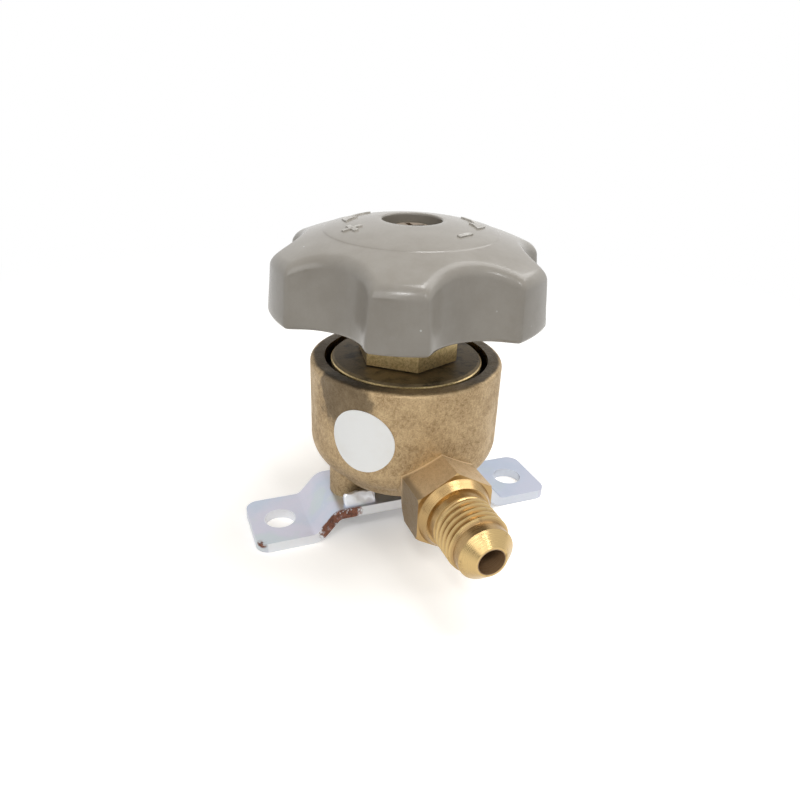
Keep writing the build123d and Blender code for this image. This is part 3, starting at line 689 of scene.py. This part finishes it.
# Inner pieces: turned brass plate, pad and slip ring, a nylon seat disc and two black rubber seals.
# They are clamped or held inside the bowl and the bonnet, and none of them shows from outside.
YELLOWED_NYLON = (0.80, 0.78, 0.70)
WHITE_NYLON = (0.88, 0.87, 0.81)
BLACK_RUBBER = (0.02, 0.02, 0.02)
RUBBER_BLOOM = (0.05, 0.05, 0.048)
nylon, tree, shader = new_material("seat_nylon", 0.0, 0.5)
feed(tree, shader, {"Base Color": tint(tree, speckle(tree, 500.0), YELLOWED_NYLON, WHITE_NYLON)})
rubber, tree, shader = new_material("black_rubber", 0.0, 0.7)
feed(tree, shader, {"Base Color": tint(tree, speckle(tree, 700.0, 4.0), BLACK_RUBBER, RUBBER_BLOOM)})
coat(("valve_plate", "thrust_pad", "slip_ring"), turned_brass)
coat(("seat_disc",), nylon)
coat(("diaphragm_gasket", "stem_seal"), rubber)

# Handwheel: a half-gloss grey moulding with six lobes under a shallow dome, screwed to the spindle.
# Its outer skin is drawn again with eased lobe corners and rolled edges, and hub, ribs and well are
# the solid's own. It has fine moulding grain, faint dust and a few pale nicks.
GREY_PLASTIC = (0.278, 0.252, 0.214)
DUSTY_PLASTIC = (0.316, 0.291, 0.253)
WELL_SHADE = (0.10, 0.088, 0.068)
PALE_NICK = (0.62, 0.61, 0.58)
WELL_EDGE = (0.00560, 0.00525)
plastic, tree, shader = new_material("grey_plastic", 0.0, 0.34)
spot = use_group(tree, whereabouts)
grain = speckle(tree, 2400.0, 3.0)
dust = speckle(tree, 130.0, 6.0, 0.65)
nick = add(tree, "TexVoronoi", {"Vector": place_on(tree), "Scale": 420.0}).outputs["Distance"]
pale = times(tree, between(tree, nick, 0.05, 0.09, 1.0, 0.0), between(tree, dust, 0.58, 0.66))
well = between(tree, spot["Spindle Radius"], *WELL_EDGE)
colour = tint(tree, between(tree, dust, 0.3, 0.7), GREY_PLASTIC, DUSTY_PLASTIC)
colour = tint(tree, times(tree, well, 0.6), colour, WELL_SHADE)
colour = tint(tree, pale, colour, PALE_NICK)
feed(tree, shader, {"Base Color": colour, "Roughness": between(tree, dust, 0.3, 0.7, 0.19, 0.26)})
shader.inputs["Specular IOR Level"].default_value = 0.42
relief(tree, shader, grain, 0.06, 0.0002)

WHEEL_SMOOTH = 38
WHEEL_FOOT = 0.04455
FOOT_LIP = 0.0005
WHEEL_REACH = 0.0257
FIRST_LOBE = radians(4.3)
LOBE_STEP = radians(60)
SCALLOP_CENTRE = 0.0313
SCALLOP_RADIUS = 0.0106
LOBE_EASE = 0.0014
LEAN = 0.00064
EDGE_ROLL = 0.0017
FOOT_ROLL = 0.0010
OUTER_SKIN = 0.0014
SPARE = 0.0011
DOME_TOP = 0.06025
DOME_RADIUS = 0.0564
DOME_CENTRE = DOME_TOP - DOME_RADIUS
CROWN_DISC = 0.0158
CROWN_DISC_RISE = 0.00012
OUTSIDE_WELL = 0.007
SKIN = 0.00003
RING_WIDTH = 0.00036
COLUMNS = 480
FOOT_ROWS, WALL_ROWS, ROLL_ROWS, BROW_ROWS, RING_ROWS, CROWN_ROWS = 5, 6, 12, 8, 5, 14


def reach_at(angle, inset):
    """Reach of the lobed outline at an angle, drawn in by an inset, with eased lobe corners."""
    turn = (angle - FIRST_LOBE) % LOBE_STEP - LOBE_STEP / 2
    nose = WHEEL_REACH - SKIN - inset
    hollow_radius = SCALLOP_RADIUS + SKIN + inset
    aside = SCALLOP_CENTRE * sin(turn)
    if abs(aside) >= hollow_radius:
        return nose
    hollow = SCALLOP_CENTRE * cos(turn) - sqrt(hollow_radius**2 - aside**2)
    ease = max(LOBE_EASE - abs(nose - hollow), 0) / LOBE_EASE
    return min(nose, hollow) - ease**2 * LOBE_EASE / 4


def dome_height(out):
    """Height of the dome at a distance from the spindle, with the faint disc round its crown."""
    step = min(max((CROWN_DISC - out) / RING_WIDTH, 0), 1)
    rise = CROWN_DISC_RISE * step * step * (3 - 2 * step)
    return DOME_CENTRE + sqrt((DOME_RADIUS - SKIN) ** 2 - out**2) + rise


def wheel_point(angle, row):
    """Reach and height of the wheel's skin: foot, leaning wall, rolled edge and dome, row by row."""
    wall_top = dome_height(reach_at(angle, LEAN)) - EDGE_ROLL
    foot = WHEEL_FOOT - FOOT_LIP
    if row == 0:
        return 0.0, foot
    row -= 1
    if row < FOOT_ROWS:
        bow = pi / 2 * row / FOOT_ROWS
        return reach_at(angle, FOOT_ROLL * (1 - sin(bow))), foot + FOOT_ROLL * (1 - cos(bow))
    row -= FOOT_ROWS
    if row < WALL_ROWS:
        share = row / WALL_ROWS
        low = foot + FOOT_ROLL
        return reach_at(angle, LEAN * share), low + (wall_top - low) * share
    row -= WALL_ROWS
    if row < ROLL_ROWS:
        bow = pi / 2 * row / ROLL_ROWS
        out = reach_at(angle, LEAN + EDGE_ROLL * (1 - cos(bow)))
        return out, dome_height(out) - EDGE_ROLL * (1 - sin(bow))
    row -= ROLL_ROWS
    brow = reach_at(angle, LEAN + EDGE_ROLL)
    if row < BROW_ROWS:
        out = brow + (CROWN_DISC - brow) * row / BROW_ROWS
    elif row < BROW_ROWS + RING_ROWS:
        out = CROWN_DISC - RING_WIDTH * (row - BROW_ROWS) / RING_ROWS
    else:
        out = (CROWN_DISC - RING_WIDTH) * (1 - (row - BROW_ROWS - RING_ROWS) / CROWN_ROWS)
    return out, dome_height(out)


# The solid's outer skin is swollen a little, and then all that stands out of the drawn form is cut off.
wheel = merged_copy("handwheel", "lobed_handwheel", "wheel", smooth=WHEEL_SMOOTH)
swollen = []
for corner in wheel.data.vertices:
    out = hypot(corner.co.x, corner.co.y)
    wall = out > reach_at(atan2(corner.co.y, corner.co.x), OUTER_SKIN)
    crown = out > OUTSIDE_WELL and corner.co.z > dome_height(out) - OUTER_SKIN / 2
    swollen.append(corner.co + corner.normal * SPARE if wall or crown else corner.co.copy())
for corner, moved in zip(wheel.data.vertices, swollen):
    corner.co = moved
rows = FOOT_ROWS + WALL_ROWS + ROLL_ROWS + BROW_ROWS + RING_ROWS + CROWN_ROWS + 1
bpy.ops.object.select_all(action="DESELECT")
bpy.ops.mesh.primitive_grid_add(x_subdivisions=COLUMNS, y_subdivisions=rows, size=2.0)
form = bpy.context.object
for corner in form.data.vertices:
    angle = pi * (corner.co.x + 1)
    out, height = wheel_point(angle, round((corner.co.y + 1) / 2 * rows))
    corner.co = (out * cos(angle), out * sin(angle), height)
bpy.ops.object.mode_set(mode="EDIT")
bpy.ops.mesh.select_all(action="SELECT")
bpy.ops.mesh.remove_doubles(threshold=1e-6)
bpy.ops.mesh.normals_make_consistent(inside=False)
bpy.ops.object.mode_set(mode="OBJECT")
trim(wheel, form, "INTERSECT")
bpy.data.objects.remove(form)
bpy.ops.object.shade_smooth_by_angle(angle=radians(WHEEL_SMOOTH))
wheel.data.materials.clear()
wheel.data.materials.append(plastic)

# Turning signs: two curved arrows, a plus and a minus, moulded on the wheel's dome in the same plastic.
# They stand up a little from the dome and follow its curve. They are rubbed pale, and painted paler still as
# a highlight.
WORN_SHEEN_GREY = (0.36, 0.335, 0.295)
WORN_SHEEN_PALE = (0.50, 0.475, 0.43)
SIGN_RADIUS = 0.0116
SIGN_RISE = 0.00034
SIGN_SINK = 0.00040
SIGN_EDGE = 0.00008
SIGN_SMOOTH = 35
STROKE = 0.00085
SHAFT_COLUMNS = 17
HEAD_COLUMNS = 7
SHAFT_SHARE = 0.66
HEAD_WIDTH = 1.7 * STROKE
TIP_WIDTH = 0.04
BAR_LENGTH = 4.2 * STROKE
wear_and_sheen, tree, shader = new_material("worn_sheen_plastic", 0.0, 0.30)
wear = speckle(tree, 900.0, 4.0)
# Rubbed wear and a painted highlight make the signs paler than the dome.
feed(tree, shader, {"Base Color": tint(tree, between(tree, wear, 0.4, 0.6), WORN_SHEEN_GREY, WORN_SHEEN_PALE)})


def lay_on_dome(piece):
    """Drops a flat sign on the dome, gives it thickness and rounds its upper edges."""
    for corner in piece.data.vertices:
        out = hypot(corner.co.x, corner.co.y)
        corner.co.z = DOME_CENTRE + sqrt((DOME_RADIUS + SIGN_RISE) ** 2 - out**2)
    pick(piece)
    thick = piece.modifiers.new("thick", "SOLIDIFY")
    thick.thickness = SIGN_SINK
    thick.offset = -1.0
    bpy.ops.object.modifier_apply(modifier="thick")
    soft = piece.modifiers.new("soft", "BEVEL")
    soft.width = SIGN_EDGE
    soft.segments = 2
    soft.limit_method = "ANGLE"
    bpy.ops.object.modifier_apply(modifier="soft")
    bpy.ops.object.shade_smooth_by_angle(angle=radians(SIGN_SMOOTH))
    piece.data.materials.append(wear_and_sheen)
    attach(piece, "wheel")


for name, tail, tip in (
    ("opening_arrow", radians(112), radians(160)),
    ("closing_arrow", radians(14), radians(-34)),
):
    columns = SHAFT_COLUMNS + HEAD_COLUMNS
    bpy.ops.object.select_all(action="DESELECT")
    bpy.ops.mesh.primitive_grid_add(x_subdivisions=columns, y_subdivisions=2, size=2.0)
    arrow = bpy.context.object
    arrow.name = name
    for corner in arrow.data.vertices:
        column = round((corner.co.x + 1) / 2 * columns)
        if column < SHAFT_COLUMNS:
            along = SHAFT_SHARE * column / (SHAFT_COLUMNS - 1)
            wide = STROKE / 2
        else:
            to_tip = (column - SHAFT_COLUMNS) / HEAD_COLUMNS
            along = SHAFT_SHARE + (1 - SHAFT_SHARE) * to_tip
            wide = HEAD_WIDTH * (1 + TIP_WIDTH - to_tip)
        angle = tail + (tip - tail) * along
        out = SIGN_RADIUS + corner.co.y * wide
        corner.co = (out * cos(angle), out * sin(angle), 0)
    bpy.ops.object.mode_set(mode="EDIT")
    bpy.ops.mesh.select_all(action="SELECT")
    bpy.ops.mesh.normals_make_consistent(inside=False)
    bpy.ops.object.mode_set(mode="OBJECT")
    if arrow.data.polygons[0].normal.z < 0:
        arrow.data.flip_normals()
    lay_on_dome(arrow)
for name, angle, turns in (
    ("plus_sign", radians(187), (0, pi / 2)),
    ("minus_sign", radians(-62), (pi / 2,)),
):
    for turn in turns:
        bpy.ops.object.select_all(action="DESELECT")
        bpy.ops.mesh.primitive_grid_add(x_subdivisions=8, y_subdivisions=2, size=1.0)
        bar = bpy.context.object
        for corner in bar.data.vertices:
            along = corner.co.x * BAR_LENGTH
            across = corner.co.y * STROKE
            corner.co = (
                SIGN_RADIUS * cos(angle) + along * cos(angle + turn) - across * sin(angle + turn),
                SIGN_RADIUS * sin(angle) + along * sin(angle + turn) + across * cos(angle + turn),
                0,
            )
        bar.name = name if turn == turns[-1] else name + "_stroke"
        lay_on_dome(bar)

# Handwheel screw: a steel pan head at the bottom of the wheel's well, with a warm tarnish.
# It clamps the wheel and its washer on the spindle.
WARM_STEEL = (0.40, 0.32, 0.24)
BROWN_TARNISH = (0.16, 0.125, 0.09)
tarnish, tree, shader = new_material("tarnished_steel", 1.0, 0.38)
dirt = use_group(tree, grime, Scale=500.0, Amount=0.5)["Mask"]
feed(tree, shader, {"Base Color": tint(tree, dirt, WARM_STEEL, BROWN_TARNISH)})
coat(("handwheel_screw",), tarnish)
